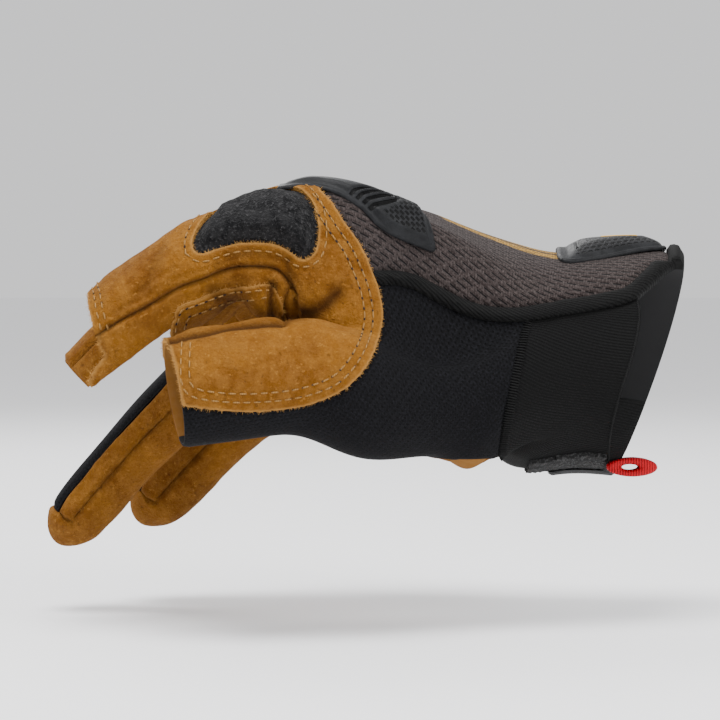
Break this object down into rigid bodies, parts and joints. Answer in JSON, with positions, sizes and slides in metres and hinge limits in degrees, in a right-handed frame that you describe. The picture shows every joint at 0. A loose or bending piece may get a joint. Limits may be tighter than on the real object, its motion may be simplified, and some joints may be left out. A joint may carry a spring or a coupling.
{
  "type": "mechanic glove",
  "caption": "Right-hand work glove of suede and knit with a rubber knuckle guard and wrist pad, open stalls for the thumb, index and middle finger, and an elastic cuff with a pull loop.",
  "frame": {"origin": "the middle of the wrist, in the hollow of the glove, where the wrist carries it", "axes": "-X towards the fingers and +X out of the cuff's mouth, +Z the back of the hand, -Y the thumb's side"},
  "size_m": [0.1839, 0.114, 0.105],
  "materials": {
    "suede": "matte split leather with worn, lighter patches and light stitching",
    "knit": "brown-grey knit with staggered raised dashes",
    "mesh_knit": "black fine knit",
    "rubber": "moulded, satin",
    "elastic": "black ribbed elastic",
    "red_ribbon": "red woven ribbon"
  },
  "bodies": {
    "root": {"palm": "suede", "saddle": "suede", "index_side": "suede", "middle_back": "suede", "gusset_index_middle": "suede", "gusset_middle_ring": "suede", "gusset_ring_little": "suede", "palm_patch": "suede", "ring_back": "mesh_knit", "little_back": "mesh_knit", "side_knit": "mesh_knit", "knuckle_inset": "mesh_knit", "back_knit": "knit", "binding": "elastic", "cuff_elastic": "elastic", "closure_strap": "elastic", "knuckle_guard": "rubber", "wrist_pad": "rubber", "strap_tab": "rubber", "pull_loop": "red_ribbon"}
  },
  "joints": []
}
